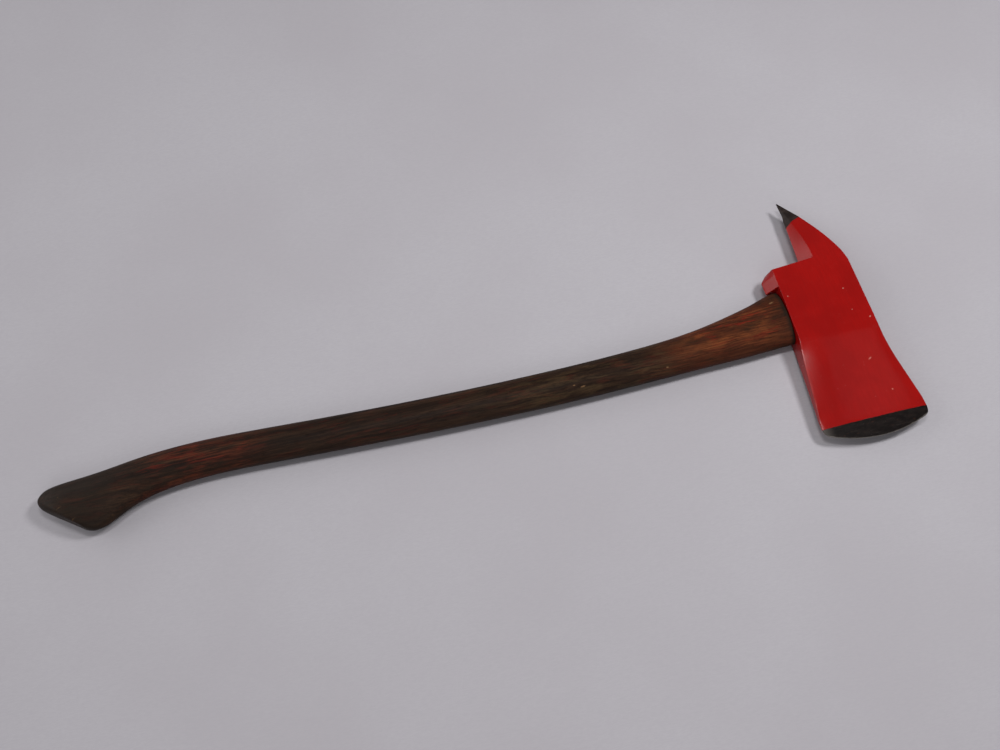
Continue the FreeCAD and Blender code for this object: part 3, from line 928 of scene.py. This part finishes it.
# %% [markdown]
# Where hands slide and rub, the black has worn off and warmer wood shows: orange and red-brown
# at the swell behind the head, olive along the middle, red-brown again at the grip. Each zone is
# a pair of ramps along X, broken up by patches of noise.

# %% Where the wood is worn warm
def zone_along(fade_in, full_from, full_to, fade_out):
    """1 between two places along the handle, fading to 0 outside them."""
    return ramp(x, fade_in, full_from) * ramp(x, fade_out, full_to)


def streaked(low, high, dark, light):
    """Two colours that follow the streaks of the grain."""
    return blend(ramp(streaks, low, high), dark, light)


swell = zone_along(-215.0, -120.0, -84.0, -50.0)
warm = swell * ramp(patches, 0.36, 0.6) * ramp(abs(y + 5.0), 27.0, 10.0)
swell_red = ramp(x, -235.0, -150.0) * 0.75
wood = blend(swell_red, wood, streaked(0.22, 0.78, paint(50, 24, 15), paint(92, 46, 27)))
wood = blend(warm * 0.75, wood, streaked(0.3, 0.7, paint(82, 38, 22), paint(146, 82, 44)))
grip_warm = zone_along(-800.0, -740.0, -680.0, -610.0) * ramp(patches, 0.4, 0.6)
wood = blend(grip_warm * 0.6, wood, streaked(0.4, 0.6, paint(50, 20, 14), paint(100, 48, 29)))
olive = ramp(spots(bent, (45, 7, 7), detail=5, rough=0.7, seed=8.0), 0.45, 0.65)
along = zone_along(-470.0, -300.0, -230.0, -150.0) * 0.45
wood = blend(along * olive, wood, paint(84, 66, 44))
soot = ramp(spots(place, (34, 10, 10), detail=5, rough=0.7, seed=23.0), 0.5, 0.66)
wood = blend(ramp(x, -235.0, -150.0) * soot * 0.6, wood, paint(40, 30, 20))
print("worn zones ready, nodes so far:", len(hickory.node_tree.nodes))

# %% [markdown]
# The handle was once painted red. The paint survives in flakes: most on the upper side of the
# swell, some at the grip, and a faint trace everywhere else.

# %% What is left of the red paint
old_paint = ramp(spots(bent, (26, 2.6, 2.6), detail=5, rough=0.72, seed=11.0), 0.5, 0.57)
old_paint = old_paint * ramp(spots(place, (38, 12, 12), detail=3, seed=13.0), 0.42, 0.56)
swell_zone = zone_along(-175.0, -120.0, -72.0, -56.0) * ramp(y, -28.0, -12.0) * ramp(y, 22.0, 8.0)
grip_zone = zone_along(-785.0, -745.0, -668.0, -635.0) * ramp(y, -24.0, -10.0) * ramp(y, 14.0, 5.0)
faint_zone = 0.14 + ramp(patches, 0.55, 0.7) * 0.25
zone = swell_zone.math("MAXIMUM", swell_zone, grip_zone * 0.5)
zone = zone.math("MAXIMUM", zone, faint_zone)
painted = old_paint * zone
wood = blend(painted * 0.7, wood, blend(streaks, paint(84, 20, 14), paint(134, 38, 25)))
print("old paint ready, nodes so far:", len(hickory.node_tree.nodes))

# %% [markdown]
# Last come nicks that show paler wood, and the dirt: most on the knob of the grip and in drifting
# patches. Beside the head a dark band is painted shade, in the crease where the handle meets the head.
# Dirt also settles in the pores.

# %% Nicks, dirt, painted shade beside the head, and relief
NICKS = [  # place, half sizes and turn
    ((-60.1, 16.9), (3.2, 1.0), 15), ((-847.1, -18.4), (0.8, 0.7), 0), ((-846.9, -30.6), (3.2, 0.5), 25),
    ((-834.7, -45.8), (4.2, 0.5), 30), ((-291.0, -30.0), (3.0, 0.7), 8), ((-300.0, -27.0), (1.4, 0.6), 4),
    ((-196.0, -30.0), (1.6, 0.7), 0),
]
nicked = marks(place, NICKS) * ramp(z, UPPER_FROM, UPPER_FROM + 6.0)
wood = blend(nicked * 0.6, wood, paint(140, 106, 74))
knob = ramp(x, -755.0, -835.0)
# The knob and the drifting patches are dirt. The band from x -54 to -48.5 is painted shade in the crease
# against the head.
grime_and_crease_shade = knob * 0.6 + ramp(x, -54.0, -48.5) * 0.85
grime_and_crease_shade = grime_and_crease_shade + ramp(spots(place, (60, 20, 20), detail=4, rough=0.7, seed=17.0), 0.5, 0.75) * 0.5
wood = blend(grime_and_crease_shade.math("MINIMUM", grime_and_crease_shade, 0.85), wood, paint(34, 27, 21))
wood = blend(pores * 0.45, wood, paint(18, 12, 9))

slope = bump(fibres * 0.4 + streaks, 0.16)
slope = bump((1.0 - pores) * (1.0 - nicked), 0.18, under=slope)
slope = bump(painted, 0.08, under=slope)
slope = bump(spots(place, (28, 9, 9), detail=3, seed=19.0), 0.8, under=slope)
wire_up(shader, place,
        Base_Color=wood, Normal=slope,
        Roughness=0.5 + (1.0 - streaks) * 0.16 + nicked * 0.2 - knob * 0.06,
        Coat_Weight=0.02 + knob * 0.04)
wear(handle, hickory)

# %% [markdown]
# ### The wedges
# Only the outer ends of the wedges show, at the crown. The wooden one is a paler, drier slice
# of hickory that soaked up dirt at its edges. The two steel ones are cheap castings, brown
# with rust and bruised by the hammer. Their solids in the frame already have the right shape,
# so they keep their meshes and take new materials.

# %% Wedge finishes
dry_wood, shader, place = finish("dry_wedge_wood", Specular_IOR_Level=0.3)
end_grain = spots(place, (30, 0.8, 0.8), detail=4, rough=0.7)
growth = spots(place, (60, 2.4, 9), detail=3, seed=4.0)
soiled = ramp(spots(place, (6, 6, 2), detail=4, rough=0.7, seed=6.0), 0.4, 0.7)
colour = blend(ramp(growth, 0.35, 0.65), paint(118, 86, 56), paint(82, 56, 36))
colour = blend(soiled * 0.7, colour, paint(40, 28, 20))
wire_up(shader, place, Base_Color=colour, Normal=bump(end_grain + growth * 0.5, 0.3),
        Roughness=0.68 + soiled * 0.15)

wedge_steel, shader, place = finish("rusty_wedge_steel", Specular_IOR_Level=0.4)
rust = ramp(spots(place, (3, 3, 3), detail=5, rough=0.7), 0.4, 0.62)
dents = spots(place, (1.6, 1.6, 1.6), detail=2, seed=2.0)
colour = blend(rust, paint(92, 86, 80), paint(96, 54, 34))
colour = blend(ramp(dents, 0.6, 0.75) * 0.5, colour, paint(140, 134, 126))
wire_up(shader, place, Base_Color=colour, Normal=bump(dents + rust * 0.5, 0.3),
        Metallic=0.85 - rust * 0.7, Roughness=0.42 + rust * 0.4)

for node, material in (("kerf_wedge", dry_wood), ("steel_wedge_upper", wedge_steel),
                       ("steel_wedge_lower", wedge_steel)):
    wear(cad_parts[node], material)

# %% [markdown]
# ## Floor, light and camera
# The axe lies on a plain pale table with a fine weave. The floor is a hair below the lower
# cheek, so that the two surfaces do not flicker through each other.

# %% The floor
FLOOR_SIZE, FLOOR_GAP = 14.0, 0.0004
bpy.ops.object.select_all(action="DESELECT")
bpy.ops.mesh.primitive_plane_add(size=FLOOR_SIZE, location=(-0.4, 0, -FLOOR_GAP))
floor = bpy.context.object
floor.name = "pale_floor"
bpy.ops.object.transform_apply(location=True, rotation=True, scale=True)
pale, shader, place = finish("pale_table", Specular_IOR_Level=0.15)
cloth = spots(place, (260, 260, 260), detail=3)
weave = spots(place, (5, 0.9, 1), detail=2, rough=0.6)
colour = blend(ramp(cloth, 0.3, 0.7), paint(182, 178, 183), paint(187, 184, 189))
colour = blend(ramp(weave, 0.3, 0.7) * 0.5, colour, paint(177, 173, 179))
wire_up(shader, place, Base_Color=colour, Normal=bump(weave, 0.12, strength=0.5),
        Roughness=0.85 + weave * 0.1)
floor.data.materials.append(pale)
floor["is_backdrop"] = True
print("floor:", FLOOR_SIZE, "m across")

# %% [markdown]
# The light is soft, as in a small studio tent, and comes from four places. The overhead box is
# mirrored along the rolled edge of the blade beside the handle. The box on the crown side draws
# the shadows. Its glare is taken out, as a polarising filter does on a real lamp, because thick
# enamel would otherwise show it all over the blade. A broad box in front fills in, and the steep
# facets of the head mirror a pale panel on the far left.

# %% The light
def softbox(name, place, target, width, height, power, mirrored):
    """A soft lamp facing a target, itself unseen. Without mirrored it leaves no highlight."""
    lamp = bpy.data.lights.new(name, "AREA")
    lamp.shape = "RECTANGLE"
    lamp.size, lamp.size_y, lamp.energy = width, height, power
    holder = bpy.data.objects.new(name, lamp)
    bpy.context.collection.objects.link(holder)
    holder.location = place
    holder.rotation_euler = (Vector(target) - Vector(place)).to_track_quat("-Z", "Y").to_euler()
    holder.visible_camera = False
    holder.visible_glossy = mirrored


SOFTBOXES = [  # name, place, target, width, height, power, whether it is mirrored
    ("overhead_box", (-0.35, 0.08, 1.9), (-0.35, 0.08, 0), 0.5, 0.26, 9, True),
    ("crown_side_box", (0.8, 0.1, 1.66), (-0.3, 0, 0), 0.4, 0.4, 18, False),
    ("front_box", (-0.6, -1.7, 1.5), (-0.3, 0, 0), 1.6, 1.0, 7, True),
    ("left_panel", (-2.3, 0.85, 1.05), (-0.2, 0, 0.1), 3.0, 1.4, 24, True),
]
ROOM_COLOUR, ROOM_STRENGTH = (0.80, 0.80, 0.84, 1), 0.15
for row in SOFTBOXES:
    softbox(*row)
world = bpy.data.worlds.new("soft_room")
bpy.context.scene.world = world
world.use_nodes = True
background = world.node_tree.nodes["Background"]
background.inputs["Color"].default_value = ROOM_COLOUR
background.inputs["Strength"].default_value = ROOM_STRENGTH
print("lamps:", len(SOFTBOXES))

# %% [markdown]
# The camera looks down at the axe from the blade's side, tilted and turned a little, from just
# over a metre above the table.

# %% The camera
CAMERA_PLACE = (-0.48296, -0.47916, 1.04417)
TILT, HEADING, LEVEL = 26.0, -12.7, -1.5     # degrees: from straight down, sideways, about the view
SENSOR, LENS_SHARE = 36.0, 1.05                  # width of the sensor, and the lens as a share of it
bpy.ops.object.camera_add(location=CAMERA_PLACE)
camera = bpy.context.object
camera.name = "camera"
camera.data.sensor_width = SENSOR
camera.data.lens = LENS_SHARE * SENSOR
turn = Matrix.Rotation(math.radians(HEADING), 3, "Z") @ Matrix.Rotation(math.radians(TILT), 3, "X")
turn = turn @ Matrix.Rotation(math.radians(LEVEL), 3, "Z")
camera.rotation_euler = turn.to_euler()
bpy.context.scene.camera = camera
bpy.context.scene.view_settings.view_transform = "Standard"
print("camera", round(CAMERA_PLACE[2], 2), "m above the table, lens", camera.data.lens)

# %% [markdown]
# Last, the boxes of the frame and of the finished model are written side by side, so that it
# is plain to see that the looks did not change the size of the object.

# %% Write the sizes and finish
model_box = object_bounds()
for name, box in (("frame", cad_box), ("model", model_box)):
    print(name, [[round(value * 1000, 1) for value in corner] for corner in box])
